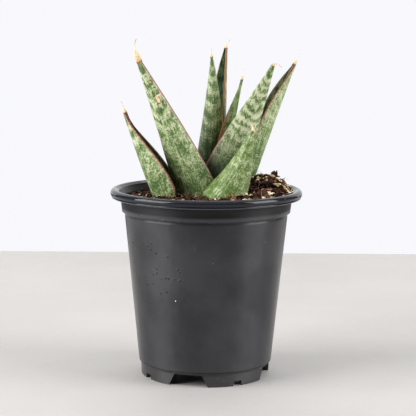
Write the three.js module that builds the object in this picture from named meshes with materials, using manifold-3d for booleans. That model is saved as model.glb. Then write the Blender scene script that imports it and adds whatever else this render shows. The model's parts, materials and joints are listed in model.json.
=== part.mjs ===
// A snake plant (Dracaena trifasciata, short rosette form) in a round plastic nursery pot.
// Millimetres, +Z up. The origin is on the surface that the pot stands on, under its axis.
// -Y is the front of the plant. Every piece is a separate closed solid with GAP to its neighbours.

import * as THREE from 'three';
import { mergeVertices } from 'three/addons/utils/BufferGeometryUtils.js';
import Module from 'manifold-3d';

const wasm = await Module();
wasm.setup();

// ---------------------------------------------------------------- driving dimensions

const GAP = 0.3; // clearance between pieces that touch

// Nursery pot: a one-piece moulding with a rolled rim, a collar, a tapered body and a foot ring.
const RIM_RADIUS = 54;
const POT_HEIGHT = 105.6;
const WALL = 1.2;
const RIM_MOUTH_RADIUS = 48.9;
const COLLAR_TOP = { radius: 48.3, z: 101 };
const COLLAR_FOOT = { radius: 47.5, z: 93.5 };
const BODY_TOP = { radius: 45.9, z: 91.5 };
const BODY_FOOT = { radius: 37.7, z: 8.2 };
const FOOT_RADIUS = 36.6;
const FLOOR_UNDERSIDE = 8;
const POT_SEGMENTS = 60;

// Foot ring openings, four of each, turned about the axis from the front.
const DRAIN_NOTCH = { turn: -15, halfTop: 7.8, halfFoot: 11.2, height: 6.8 };
const VENT_NOTCH = { turn: 30, halfTop: 2.2, halfFoot: 2.8, height: 2.8 };
const DRAIN_HOLE_RADIUS = 4.5;
const DRAIN_HOLE_CIRCLE = 24;
const NOTCH_CUT = { outside: 4, inside: 8 }; // reach of the cut from the foot ring's outer face
const QUARTERS = 4;

// Potting mix: a plug that fills the pot, heaped up at the back right.
const SOIL_LEVEL = 101;
const HEAP = { x: 35, y: 12, height: 10, spreadX: 13, spreadY: 19 };
const HOLLOW = { x: -38, y: 14, depth: 2.2, spread: 17 };
const RIPPLE = { height: 0.45, perX: 0.41, startX: 1.3, perY: 0.37, startY: -0.6 };
const EDGE_DROP = { share: 0.55, power: 12 }; // how the heap falls away at the pot's wall
const SHOULDER = 0.8; // how far down the wall the mix's top edge starts to close in
const SOIL_RINGS = [7, 14, 21, 28, 34, 40, 44.5];
const EDGE_RADIUS = 47;
const SOIL_SEGMENTS = 40;

// Rhizome: the short stem under the mix that all the leaves grow from.
const RHIZOME = { x: 0, y: 5, z: 76, lengthX: 66, lengthY: 48, height: 20, turn: 8 };

// Leaves. base, bend and tip shape the midrib's curve, and awl is the dry point's reach past tip.
// fullness says how far up the blade stays broad, channel how deep it is folded for its width,
// facing the compass angle of its hollow side from +X, twist how far that turns up the blade, point
// the half width where the awl starts, neck how much the foot narrows, hook how long the awl keeps
// the blade's direction.
const LEAVES = [
  {
    name: 'leaf_left_short', base: [-28, 1.9, 101], bend: [-36.2, 2.2, 120.1],
    tip: [-45.7, 1, 147.4], awl: [-2.5, 0, 6.9], width: 27.8, fullness: 1.53, channel: 0.44,
    facing: -0.6, twist: 0.7, thickness: 4.6, point: 1.1, neck: 0.09, hook: 0.6,
  },
  {
    name: 'leaf_left_tall', base: [-6.2, -4, 101], bend: [-21.8, -4, 141.1],
    tip: [-37.4, -3, 175.5], awl: [-1.8, 0, 13.6], width: 23.2, fullness: 1.02, channel: 0.23,
    facing: 70.9, twist: 1.1, thickness: 5, point: 1.55, neck: 0.02, hook: 0.8,
  },
  {
    name: 'leaf_centre', base: [-0.7, 12.5, 101], bend: [5.3, 12.5, 140.1],
    tip: [2.4, 12.5, 178.5], awl: [0, 0, 5.4], width: 15.7, fullness: 1.66, channel: 0.28,
    facing: 91.7, twist: 0.5, thickness: 4, point: 0.65, neck: 0.33, hook: 0.6,
  },
  {
    name: 'leaf_rear', base: [8.2, 27, 101], bend: [9.3, 26.5, 168.3],
    tip: [10.5, 24, 183.5], awl: [2.5, 0, 5.3], width: 13.8, fullness: 1.8, channel: 0.31,
    facing: -145.3, twist: -5.2, thickness: 3.6, point: 0.95, neck: 0.5, hook: 0.5,
  },
  {
    name: 'leaf_inner', base: [9.6, 16.5, 101], bend: [13.7, 14.1, 140.7],
    tip: [19.5, 11, 165.9], awl: [1.6, 0, 6.5], width: 16.6, fullness: 2.32, channel: 0.38,
    facing: 171, twist: 0, thickness: 3.4, point: 0.65, neck: 0.6, hook: 0.6,
  },
  {
    name: 'leaf_right_broad', base: [7, 4.5, 101.3], bend: [17.7, 2.5, 128],
    tip: [36.3, -2, 174.5], awl: [5.1, 0, -0.9], width: 27, fullness: 1.51, channel: 0.22,
    facing: 112.5, twist: 2.8, thickness: 4.6, point: 1.1, neck: 0.27, hook: 0.65,
  },
  {
    name: 'leaf_right_outer', base: [22.6, 26, 99.4], bend: [42.8, 20.7, 158.9],
    tip: [49.3, 13.2, 175.3], awl: [2.8, 0, 5.6], width: 22.5, fullness: 2.06, channel: 0.38,
    facing: 181.2, twist: -2.7, thickness: 4.4, point: 0.9, neck: 0.45, hook: 0.6,
  },
  {
    name: 'leaf_front', base: [5.4, -15, 101], bend: [16.8, -11, 114.3],
    tip: [25.4, -12, 138.9], awl: [-1.9, 0, 6.1], width: 25.6, fullness: 1.3, channel: 0.26,
    facing: 56.6, twist: -1, thickness: 5, point: 0.85, neck: 0.02, hook: 0.25,
  },
];
const CHANNEL_CURVE = 1.7; // how the fold rises from the midrib to the margins
const SECTION_EDGE = { square: 2.4, round: 0.6 }; // how full the section stays towards its margins
const THINNING = 1.3; // how the leaf thins towards its tip
const FLATTENING = 4; // how late the fold opens out towards the tip
const NECK_REACH = 6; // how soon above the foot the neck has widened out
const AWL_END_RADIUS = 0.3;
const FOOT_SEAT = 2.5; // how far a leaf's foot is let into the rhizome before it is cut to fit
const FOOT_PULL = 0.12; // how far a foot leans in towards the rhizome's middle
const FOOT_STATIONS = [[0, 0.35], [0.45, 0.7], [0.8, 0.96]]; // share of the rise, share of the width
const BLADE_STEPS = 10;
const AWL_STEPS = 3;
const ACROSS = [-1, -0.88, -0.5, 0, 0.5, 0.88, 1]; // places across a leaf, from margin to margin

// Loose pieces lying on the mix: [x, y, size].
const BARK_CHIPS = [
  [34, 22, 6.5], [33, 30, 5.5], [42, 4, 6.5], [32, -4, 5.5], [-34, 22, 6], [-34, -14, 5.5],
  [-28, -24, 6], [-22, -34, 6.5], [20, -35, 6], [30, -24, 6.5], [-14, 32, 6], [10, 38, 6],
];
const PERLITE_GRAINS = [
  [36, 10, 3.6], [44, 10, 3], [29, 3, 3.2], [40, -6, 3.4], [33, -12, 3], [36, 26, 3.2],
  [-20, -26, 3.2], [-12, -23, 3], [-30, -12, 3], [24, -28, 3.4], [-30, 27, 2.8], [-2, 36, 3.2],
];
const CHIP_SHAPE = { long: 1.25, flat: 0.55, dents: 0.3 };
const GRAIN_SHAPE = { long: 1.05, flat: 0.85, dents: 0.22 };
const LUMP_TILT = 0.7; // the most that a lump is tipped over, end to end, in radians
const LUMP_RISE = 0.2; // how far a lump's middle is above the mix, for its size and flatness
const UPRIGHT_CHIP = { x: 39, y: 16, reach: 7.5, halfX: 1.9, halfY: 1.5, lean: 0.25, rise: 0.28 };

// ---------------------------------------------------------------- materials

const plastic = new THREE.MeshStandardMaterial({ color: 0x2b2e33, roughness: 0.42, metalness: 0 });
const leafGreen = new THREE.MeshStandardMaterial({ color: 0x5f7d4e, roughness: 0.5, metalness: 0 });
const soilBrown = new THREE.MeshStandardMaterial({ color: 0x2c1b12, roughness: 0.95, metalness: 0 });
const barkBrown = new THREE.MeshStandardMaterial({ color: 0x4a2a1b, roughness: 0.9, metalness: 0 });
const perliteWhite = new THREE.MeshStandardMaterial({ color: 0xd9d2ae, roughness: 0.9, metalness: 0 });
const stemCream = new THREE.MeshStandardMaterial({ color: 0xc98a4e, roughness: 0.7, metalness: 0 });

// ---------------------------------------------------------------- helpers

// Makes a manifold solid from a closed three.js geometry.
function toSolid(geometry) {
  const bare = geometry.clone();
  bare.deleteAttribute('normal');
  bare.deleteAttribute('uv');
  const merged = mergeVertices(bare, 1e-4);
  const mesh = new wasm.Mesh({
    numProp: 3,
    vertProperties: new Float32Array(merged.attributes.position.array),
    triVerts: new Uint32Array(merged.index.array),
  });
  mesh.merge();
  return new wasm.Manifold(mesh);
}

// Gives a manifold solid back as a three.js geometry.
function toGeometry(solid) {
  const mesh = solid.getMesh();
  const geometry = new THREE.BufferGeometry();
  geometry.setAttribute('position', new THREE.BufferAttribute(mesh.vertProperties, 3));
  geometry.setIndex(new THREE.BufferAttribute(mesh.triVerts, 1));
  geometry.computeVertexNormals();
  return geometry;
}

// Skins a stack of rings, all with the same number of points, and closes both ends on a point.
function skinRings(rings, start, end) {
  const size = rings[0].length;
  const points = [start, ...rings.flat(), end];
  const last = points.length - 1;
  const faces = [];
  for (let i = 0; i < size; i += 1) {
    const next = (i + 1) % size;
    faces.push(0, 1 + next, 1 + i);
    for (let ring = 0; ring < rings.length - 1; ring += 1) {
      const low = 1 + ring * size;
      const high = low + size;
      faces.push(low + i, low + next, high + next);
      faces.push(low + i, high + next, high + i);
    }
    const top = 1 + (rings.length - 1) * size;
    faces.push(top + i, top + next, last);
  }
  const geometry = new THREE.BufferGeometry().setFromPoints(points);
  geometry.setIndex(faces);
  geometry.computeVertexNormals();
  return geometry;
}

// A repeatable fraction from 0 to 1 for a whole number.
function scatter(seed) {
  const wave = Math.sin(seed * 12.9898 + 4.1414) * 43758.5453;
  return wave - Math.floor(wave);
}

// Places a geometry around the pot's axis, turned in degrees from the front (-Y) towards +X.
function turned(geometry, degrees) {
  return geometry.clone().rotateZ(THREE.MathUtils.degToRad(degrees));
}

// ---------------------------------------------------------------- nursery pot

// The radius of the pot's inner wall at a height above its floor.
function innerRadius(z) {
  const stops = [
    [BODY_FOOT.z + WALL, BODY_FOOT.radius - WALL],
    [BODY_TOP.z, BODY_TOP.radius - WALL],
    [COLLAR_FOOT.z, COLLAR_FOOT.radius - WALL],
    [COLLAR_TOP.z, COLLAR_TOP.radius - WALL],
    [POT_HEIGHT - 1.6, RIM_MOUTH_RADIUS],
    [POT_HEIGHT, RIM_MOUTH_RADIUS],
  ];
  for (let i = 1; i < stops.length; i += 1) {
    const [lowZ, lowRadius] = stops[i - 1];
    const [highZ, highRadius] = stops[i];
    if (z <= highZ) {
      const share = Math.max(0, (z - lowZ) / (highZ - lowZ));
      return lowRadius + (highRadius - lowRadius) * share;
    }
  }
  return RIM_MOUTH_RADIUS;
}

// The pot's section, from the middle of the floor's underside, up the outside and down the inside.
function potProfile() {
  const at = (radius, z) => new THREE.Vector2(radius, z);
  const floorTop = FLOOR_UNDERSIDE + WALL;
  return [
    at(0, FLOOR_UNDERSIDE),
    at(FOOT_RADIUS - WALL - 0.2, FLOOR_UNDERSIDE),
    at(FOOT_RADIUS - WALL - 0.4, 0),
    at(FOOT_RADIUS - 0.2, 0),
    at(FOOT_RADIUS, BODY_FOOT.z - 1),
    at(BODY_FOOT.radius, BODY_FOOT.z),
    at(BODY_TOP.radius, BODY_TOP.z),
    at(COLLAR_FOOT.radius, COLLAR_FOOT.z),
    at(COLLAR_TOP.radius, COLLAR_TOP.z - 0.2),
    at(RIM_RADIUS - 1.2, COLLAR_TOP.z - 0.2),
    at(RIM_RADIUS - 0.7, COLLAR_TOP.z + 0.4),
    at(RIM_RADIUS - 0.9, COLLAR_TOP.z + 1.2),
    at(RIM_RADIUS, COLLAR_TOP.z + 2),
    at(RIM_RADIUS, COLLAR_TOP.z + 3.3),
    at(RIM_RADIUS - 0.7, POT_HEIGHT - 0.3),
    at(RIM_RADIUS - 1.8, POT_HEIGHT),
    at(RIM_RADIUS - 3.4, POT_HEIGHT - 0.3),
    at(RIM_MOUTH_RADIUS + 0.5, POT_HEIGHT - 0.9),
    at(RIM_MOUTH_RADIUS, POT_HEIGHT - 1.6),
    at(COLLAR_TOP.radius - WALL, COLLAR_TOP.z),
    at(COLLAR_FOOT.radius - WALL, COLLAR_FOOT.z),
    at(BODY_TOP.radius - WALL, BODY_TOP.z),
    at(BODY_FOOT.radius - WALL, floorTop),
    at(0, floorTop),
  ];
}

// A block that cuts a notch with sloping sides through the foot ring at the front.
function notchCutter({ turn, halfTop, halfFoot, height }) {
  const outline = new THREE.Shape();
  outline.moveTo(-halfFoot, -1);
  outline.lineTo(halfFoot, -1);
  outline.lineTo(halfTop, height);
  outline.lineTo(-halfTop, height);
  outline.closePath();
  const depth = NOTCH_CUT.outside + NOTCH_CUT.inside;
  const block = new THREE.ExtrudeGeometry(outline, { depth, bevelEnabled: false });
  block.rotateX(Math.PI / 2);
  block.translate(0, -FOOT_RADIUS + NOTCH_CUT.inside, 0);
  return turned(block, turn);
}

function nurseryPot() {
  const shell = new THREE.LatheGeometry(potProfile(), POT_SEGMENTS);
  shell.rotateX(Math.PI / 2);
  let solid = toSolid(shell);
  for (let quarter = 0; quarter < QUARTERS; quarter += 1) {
    const turn = (quarter * 360) / QUARTERS;
    for (const notch of [DRAIN_NOTCH, VENT_NOTCH]) {
      const cutter = notchCutter({ ...notch, turn: notch.turn + turn });
      solid = solid.subtract(toSolid(cutter));
    }
    const hole = new THREE.CylinderGeometry(DRAIN_HOLE_RADIUS, DRAIN_HOLE_RADIUS, 5 * WALL, 20);
    hole.rotateX(Math.PI / 2);
    hole.translate(0, -DRAIN_HOLE_CIRCLE, FLOOR_UNDERSIDE);
    solid = solid.subtract(toSolid(turned(hole, DRAIN_NOTCH.turn + turn)));
  }
  return toGeometry(solid);
}

// ---------------------------------------------------------------- leaves

// A point and a direction on the curve through from, towards control, to end.
function alongCurve(from, control, end, t) {
  const curve = new THREE.QuadraticBezierCurve3(from, control, end);
  return { point: curve.getPoint(t), tangent: curve.getTangent(t) };
}

// The ring of points round a leaf at one station; swell grows it on every side.
function leafRing(station, swell) {
  const { point, tangent, facing, halfWidth, fold, thickness } = station;
  const inward = new THREE.Vector3(Math.cos(facing), Math.sin(facing), 0);
  inward.addScaledVector(tangent, -inward.dot(tangent)).normalize();
  const side = new THREE.Vector3().crossVectors(tangent, inward);
  const place = (across, face) => {
    const size = Math.abs(across);
    const rise = fold * (size * (halfWidth + swell) / halfWidth) ** CHANNEL_CURVE;
    const body = (thickness / 2 + swell) * (1 - size ** SECTION_EDGE.square) ** SECTION_EDGE.round;
    return point.clone()
      .addScaledVector(side, (halfWidth + swell) * across)
      .addScaledVector(inward, rise + face * body);
  };
  const outer = ACROSS.map((across) => place(across, -1));
  const inner = ACROSS.slice(1, -1).reverse().map((across) => place(across, 1));
  return [...outer, ...inner].reverse();
}

// A leaf from its foot on the rhizome to the end of its dry awl.
function leafGeometry(leaf, swell = 0) {
  const base = new THREE.Vector3(...leaf.base);
  const bend = new THREE.Vector3(...leaf.bend);
  const tip = new THREE.Vector3(...leaf.tip);
  const end = tip.clone().add(new THREE.Vector3(...leaf.awl));
  const facingAt = (t) => THREE.MathUtils.degToRad(leaf.facing + leaf.twist * t);
  const blade = (t) => {
    const taper = (1 - t ** leaf.fullness) * (1 - leaf.neck * (1 - t) ** NECK_REACH);
    const halfWidth = (leaf.width / 2) * taper + leaf.point;
    const thickness = THREE.MathUtils.lerp(leaf.thickness, 2 * leaf.point, t ** THINNING);
    const fold = 2 * leaf.channel * halfWidth * (1 - t ** FLATTENING);
    return { ...alongCurve(base, bend, tip, t), facing: facingAt(t), halfWidth, fold, thickness };
  };
  const root = blade(0);
  const footX = THREE.MathUtils.lerp(base.x, RHIZOME.x, FOOT_PULL);
  const footY = THREE.MathUtils.lerp(base.y, RHIZOME.y, FOOT_PULL);
  const seat = new THREE.Vector3(footX, footY, rhizomeTop(footX, footY) - FOOT_SEAT);
  const stations = FOOT_STATIONS.map(([rise, share]) => ({
    ...root,
    point: seat.clone().lerp(base, rise),
    halfWidth: root.halfWidth * share,
    fold: root.fold * share ** CHANNEL_CURVE,
  }));
  for (let step = 0; step <= BLADE_STEPS; step += 1) {
    stations.push(blade(step / BLADE_STEPS));
  }
  const top = blade(1);
  const reach = end.distanceTo(tip);
  const control = tip.clone().addScaledVector(top.tangent, reach * leaf.hook);
  for (let step = 1; step <= AWL_STEPS; step += 1) {
    const share = step / (AWL_STEPS + 1);
    const size = THREE.MathUtils.lerp(leaf.point, AWL_END_RADIUS, share);
    const place = alongCurve(tip, control, end, share);
    stations.push({ ...top, ...place, halfWidth: size, fold: 0, thickness: 2 * size });
  }
  const rings = stations.map((station) => leafRing(station, swell));
  const foot = stations[0].point.clone().addScaledVector(root.tangent, -0.2 - swell);
  return skinRings(rings, foot, end);
}

// ---------------------------------------------------------------- potting mix and rhizome

// The height of the mix's surface.
function soilHeight(x, y) {
  const radius = Math.hypot(x, y);
  const heapX = (x - HEAP.x) / HEAP.spreadX;
  const heapY = (y - HEAP.y) / HEAP.spreadY;
  const edge = 1 - EDGE_DROP.share * (radius / RIM_MOUTH_RADIUS) ** EDGE_DROP.power;
  const heap = HEAP.height * Math.exp(-(heapX ** 2 + heapY ** 2) / 2) * edge;
  const away = ((x - HOLLOW.x) ** 2 + (y - HOLLOW.y) ** 2) / (2 * HOLLOW.spread ** 2);
  const waveX = Math.sin(x * RIPPLE.perX + RIPPLE.startX);
  const waveY = Math.cos(y * RIPPLE.perY + RIPPLE.startY);
  return SOIL_LEVEL + heap - HOLLOW.depth * Math.exp(-away) + RIPPLE.height * waveX * waveY;
}

// A plug that fills the pot, with an uneven top.
function soilPlug() {
  const ringAt = (radiusAt, heightAt) => {
    const ring = [];
    for (let i = 0; i < SOIL_SEGMENTS; i += 1) {
      const angle = (i / SOIL_SEGMENTS) * Math.PI * 2;
      const radius = radiusAt(angle);
      const x = radius * Math.cos(angle);
      const y = radius * Math.sin(angle);
      ring.push(new THREE.Vector3(x, y, heightAt(x, y)));
    }
    return ring;
  };
  const floor = FLOOR_UNDERSIDE + WALL + GAP;
  const walls = [floor, BODY_TOP.z, COLLAR_FOOT.z].map(
    (z) => ringAt(() => innerRadius(z) - GAP, () => z),
  );
  const edgeHeight = (angle) => (
    soilHeight(EDGE_RADIUS * Math.cos(angle), EDGE_RADIUS * Math.sin(angle))
  );
  const shoulderHeight = (angle) => Math.min(edgeHeight(angle) - SHOULDER, COLLAR_TOP.z);
  const shoulder = ringAt(
    (angle) => innerRadius(shoulderHeight(angle)) - GAP,
    (x, y) => shoulderHeight(Math.atan2(y, x)),
  );
  const edge = ringAt((angle) => innerRadius(edgeHeight(angle)) - 2 * GAP, soilHeight);
  const top = [...SOIL_RINGS].reverse().map((radius) => ringAt(() => radius, soilHeight));
  const rings = [...walls, shoulder, edge, ...top];
  const bottom = new THREE.Vector3(0, 0, floor);
  return skinRings(rings, bottom, new THREE.Vector3(0, 0, soilHeight(0, 0)));
}

// The height of the rhizome's upper side over a point.
function rhizomeTop(x, y) {
  const turn = THREE.MathUtils.degToRad(-RHIZOME.turn);
  const middle = new THREE.Vector2(RHIZOME.x, RHIZOME.y);
  const place = new THREE.Vector2(x, y).rotateAround(middle, turn).sub(middle);
  const reach = (place.x * 2 / RHIZOME.lengthX) ** 2 + (place.y * 2 / RHIZOME.lengthY) ** 2;
  return RHIZOME.z + (RHIZOME.height / 2) * Math.sqrt(Math.max(0, 1 - reach));
}

// A blunt, flattened stem lying in the mix.
function rhizome(swell = 0) {
  const { x, y, z, lengthX, lengthY, height, turn } = RHIZOME;
  const stem = new THREE.SphereGeometry(1, 16, 8);
  stem.rotateX(Math.PI / 2);
  stem.scale(lengthX / 2 + swell, lengthY / 2 + swell, height / 2 + swell);
  stem.rotateZ(THREE.MathUtils.degToRad(turn));
  stem.translate(x, y, z);
  return stem;
}

// ---------------------------------------------------------------- loose pieces

// An irregular lump of the given size, longer one way, lying on the mix at x, y.
function lump(seed, x, y, size, { long, flat, dents, swell = 0 }) {
  const shape = new THREE.IcosahedronGeometry(1, 0);
  const places = shape.attributes.position;
  const corner = new THREE.Vector3();
  for (let i = 0; i < places.count; i += 1) {
    corner.fromBufferAttribute(places, i);
    const [keyX, keyY, keyZ] = [corner.x * 7, corner.y * 11, corner.z * 13].map(Math.round);
    corner.multiplyScalar(1 - dents * scatter(seed + keyX + keyY * 3 + keyZ * 5));
    places.setXYZ(i, corner.x, corner.y, corner.z);
  }
  shape.scale(size / 2 * long + swell, size / 2 + swell, size / 2 * flat + swell);
  shape.rotateY((scatter(seed + 1) - 0.5) * LUMP_TILT);
  shape.rotateZ(scatter(seed + 2) * Math.PI);
  shape.translate(x, y, soilHeight(x, y) + size * flat * LUMP_RISE);
  return shape;
}

const barkChip = ([x, y, size], i, swell = 0) => (
  lump(i * 17 + 3, x, y, size, { ...CHIP_SHAPE, swell })
);
const perliteGrain = ([x, y, size], i, swell = 0) => (
  lump(i * 23 + 8, x, y, size, { ...GRAIN_SHAPE, swell })
);

// A splinter of bark that stands up out of the heap.
function uprightChip(swell = 0) {
  const { x, y, reach, halfX, halfY, lean, rise } = UPRIGHT_CHIP;
  const chip = new THREE.IcosahedronGeometry(1, 0);
  chip.scale(halfX + swell, halfY + swell, reach / 2 + swell);
  chip.rotateY(lean);
  chip.translate(x, y, soilHeight(x, y) + reach * rise);
  return chip;
}

// ---------------------------------------------------------------- assembly

const pieces = [];
pieces.push({ name: 'nursery_pot', geometry: nurseryPot(), material: plastic });
pieces.push({ name: 'rhizome', geometry: rhizome(), material: stemCream });

// Each leaf is seated on the rhizome and flattened where it presses on the leaves listed after it.
const stemRoom = toSolid(rhizome(GAP));
const leafRooms = LEAVES.map((leaf) => toSolid(leafGeometry(leaf, GAP)));
LEAVES.forEach((leaf, i) => {
  let blade = toSolid(leafGeometry(leaf)).subtract(stemRoom);
  for (const room of leafRooms.slice(i + 1)) {
    blade = blade.subtract(room);
  }
  pieces.push({ name: leaf.name, geometry: toGeometry(blade), material: leafGreen });
});

BARK_CHIPS.forEach((chip, i) => {
  const name = `bark_chip_${String(i + 1).padStart(2, '0')}`;
  pieces.push({ name, geometry: barkChip(chip, i), material: barkBrown });
});
pieces.push({ name: 'bark_chip_upright', geometry: uprightChip(), material: barkBrown });
PERLITE_GRAINS.forEach((grain, i) => {
  const name = `perlite_grain_${String(i + 1).padStart(2, '0')}`;
  pieces.push({ name, geometry: perliteGrain(grain, i), material: perliteWhite });
});

let soil = toSolid(soilPlug());
const sockets = [
  uprightChip(GAP),
  ...BARK_CHIPS.map((chip, i) => barkChip(chip, i, GAP)),
  ...PERLITE_GRAINS.map((grain, i) => perliteGrain(grain, i, GAP)),
];
for (const room of [stemRoom, ...leafRooms, ...sockets.map(toSolid)]) {
  soil = soil.subtract(room);
}
pieces.push({ name: 'potting_mix', geometry: toGeometry(soil), material: soilBrown });

const plant = new THREE.Group();
plant.name = 'potted_snake_plant';
for (const { name, geometry, material } of pieces) {
  const mesh = new THREE.Mesh(geometry, material);
  mesh.name = name;
  plant.add(mesh);
}

export default plant;
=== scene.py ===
"""Visual model of a potted snake plant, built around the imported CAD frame.

The plant is a young rosette of eight stiff, channelled leaves that grow from a buried rhizome in a
bark and peat mix, in a round black nursery pot. Sizes are in millimetres in the dataclass fields
and are turned into metres where meshes are made. +Z is up and -Y is the plant's front.
"""

import json
import logging
import math
from dataclasses import dataclass
from enum import Enum
from functools import partial, reduce

import bmesh
import bpy
import numpy as np
from mathutils import Matrix, Vector, noise

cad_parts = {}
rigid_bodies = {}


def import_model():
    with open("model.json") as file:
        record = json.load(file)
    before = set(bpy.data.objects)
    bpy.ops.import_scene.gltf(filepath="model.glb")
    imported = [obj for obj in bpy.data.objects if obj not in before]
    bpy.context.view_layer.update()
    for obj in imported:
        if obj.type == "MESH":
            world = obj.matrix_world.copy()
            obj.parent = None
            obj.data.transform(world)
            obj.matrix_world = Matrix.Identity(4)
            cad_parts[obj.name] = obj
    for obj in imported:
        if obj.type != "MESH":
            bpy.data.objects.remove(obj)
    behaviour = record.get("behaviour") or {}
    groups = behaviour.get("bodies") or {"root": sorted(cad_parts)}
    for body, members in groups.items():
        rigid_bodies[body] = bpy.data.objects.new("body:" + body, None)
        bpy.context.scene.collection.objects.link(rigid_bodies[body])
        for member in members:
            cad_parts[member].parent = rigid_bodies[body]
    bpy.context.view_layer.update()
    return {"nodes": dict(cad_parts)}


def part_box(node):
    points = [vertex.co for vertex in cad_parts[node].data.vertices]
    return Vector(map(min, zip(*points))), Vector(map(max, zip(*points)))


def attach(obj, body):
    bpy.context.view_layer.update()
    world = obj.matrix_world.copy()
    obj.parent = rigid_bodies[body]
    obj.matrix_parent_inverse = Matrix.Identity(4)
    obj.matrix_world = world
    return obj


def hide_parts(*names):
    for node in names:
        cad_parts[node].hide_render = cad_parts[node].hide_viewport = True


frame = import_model()

MM = 0.001
BODY = "root"
LOG = logging.getLogger("snake_plant")

Number = float | int
Socket = bpy.types.NodeSocket
Rings = list[np.ndarray]
Triple = tuple[float, float, float]
Colour = Triple
Value = Socket | Number | tuple[float, ...]


class Slot(Enum):
    """The record's material slots."""

    POT = "pot_plastic"
    LEAF = "leaf"
    MIX = "potting_mix"
    BARK = "bark"
    PERLITE = "perlite"
    RHIZOME = "rhizome"


class Skin(Enum):
    """Names of the float attributes that leaf meshes carry for their finish."""

    ACROSS = "across"
    ACROSS_MM = "across_mm"
    ALONG_MM = "along_mm"
    EDGE_MM = "edge_mm"
    RISE = "rise"
    AWL = "awl"
    INNER = "inner"
    RIM = "rim"
    SCAR = "scar"
    SPOT = "spot"


# ---------------------------------------------------------------- mesh helpers


def smoothstep(low: Number, high: Number, value: np.ndarray | float) -> np.ndarray | float:
    """Eases from 0 at low to 1 at high.

    Args:
        low: Where the result is still 0.
        high: Where the result has become 1.
        value: The number or array to ease.

    Returns:
        The eased share, of the same shape as value.
    """
    share = np.clip((value - low) / (high - low), 0.0, 1.0)
    return share * share * (3.0 - 2.0 * share)


def make_mesh(name: str, points: np.ndarray, faces: list[tuple[int, ...]], smooth: bool = True
              ) -> bpy.types.Object:
    """Makes an object from points in millimetres and faces.

    Args:
        name: The object's name.
        points: Vertex places, one row each, in millimetres.
        faces: Corner indices of each face, counter-clockwise from outside.
        smooth: Whether faces are shaded smooth.

    Returns:
        The new object, linked to the scene, at the origin.
    """
    mesh = bpy.data.meshes.new(name)
    mesh.from_pydata((np.asarray(points, float) * MM).tolist(), [], faces)
    mesh.update()
    mesh.polygons.foreach_set("use_smooth", [smooth] * len(mesh.polygons))
    piece = bpy.data.objects.new(name, mesh)
    bpy.context.scene.collection.objects.link(piece)
    return piece


def circle(radius: float, z: float, segments: int) -> np.ndarray:
    """Lists the points of a level circle about the pot's axis."""
    angles = np.arange(segments) * math.tau / segments
    return np.column_stack([radius * np.cos(angles), radius * np.sin(angles), np.full(segments, z)])


def skin_rings(rings: Rings, start: np.ndarray, end: np.ndarray
               ) -> tuple[np.ndarray, list[tuple[int, ...]]]:
    """Skins a stack of rings and closes both ends on a point.

    Args:
        rings: Rings of points, all the same length, counter-clockwise seen from the end side.
        start: The point that closes the first ring.
        end: The point that closes the last ring.

    Returns:
        All points, start first and end last, and the faces.
    """
    size = len(rings[0])
    points = np.vstack([np.reshape(start, (1, 3)), *rings, np.reshape(end, (1, 3))])
    last = len(points) - 1
    faces: list[tuple[int, ...]] = []
    for i in range(size):
        after = (i + 1) % size
        faces.append((0, 1 + after, 1 + i))
        for ring in range(len(rings) - 1):
            low = 1 + ring * size
            high = low + size
            faces.append((low + i, low + after, high + after, high + i))
        top = 1 + (len(rings) - 1) * size
        faces.append((top + i, top + after, last))
    return points, faces


def store(piece: bpy.types.Object, name: str, values: np.ndarray) -> None:
    """Stores one float for each vertex under a name."""
    layer = piece.data.attributes.new(name, "FLOAT", "POINT")
    layer.data.foreach_set("value", np.asarray(values, np.float32))


def finish_piece(piece: bpy.types.Object, slot: Slot, *nodes: str) -> bpy.types.Object:
    """Hides the CAD nodes that a finished piece stands for, puts it on its body and logs its slot.

    Args:
        piece: The finished object.
        slot: The record's material slot that it takes its finish from.
        *nodes: CAD nodes that it stands for, if any.

    Returns:
        The same piece.
    """
    if nodes:
        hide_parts(*nodes)
    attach(piece, BODY)
    LOG.info("%s: %d faces, slot %s", piece.name, len(piece.data.polygons), slot.value)
    return piece


def plain_copy(piece: bpy.types.Object) -> bpy.types.Object:
    """Turns an object with modifiers into a plain mesh and removes the modifiers.

    Args:
        piece: The object whose evaluated shape is wanted.

    Returns:
        The same object, now with a plain mesh.
    """
    graph = bpy.context.evaluated_depsgraph_get()
    baked = bpy.data.meshes.new_from_object(piece.evaluated_get(graph), depsgraph=graph)
    piece.modifiers.clear()
    piece.data = baked
    return piece


# ---------------------------------------------------------------- shader helper


def add_node(tree: bpy.types.NodeTree, kind: str, inputs: dict[str | int, Value] | None = None,
             **settings: object) -> bpy.types.Node:
    """Adds a node to a tree.

    Args:
        tree: The tree.
        kind: The node's type.
        inputs: A socket to link or a plain value for each input, by its name or number.
        **settings: The node's own settings.

    Returns:
        The node.
    """
    node = tree.nodes.new(kind)
    for name, value in settings.items():
        setattr(node, name, value)
    for key, value in (inputs or {}).items():
        if isinstance(value, bpy.types.NodeSocket):
            tree.links.new(value, node.inputs[key])
        else:
            node.inputs[key].default_value = value
    return node


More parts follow.
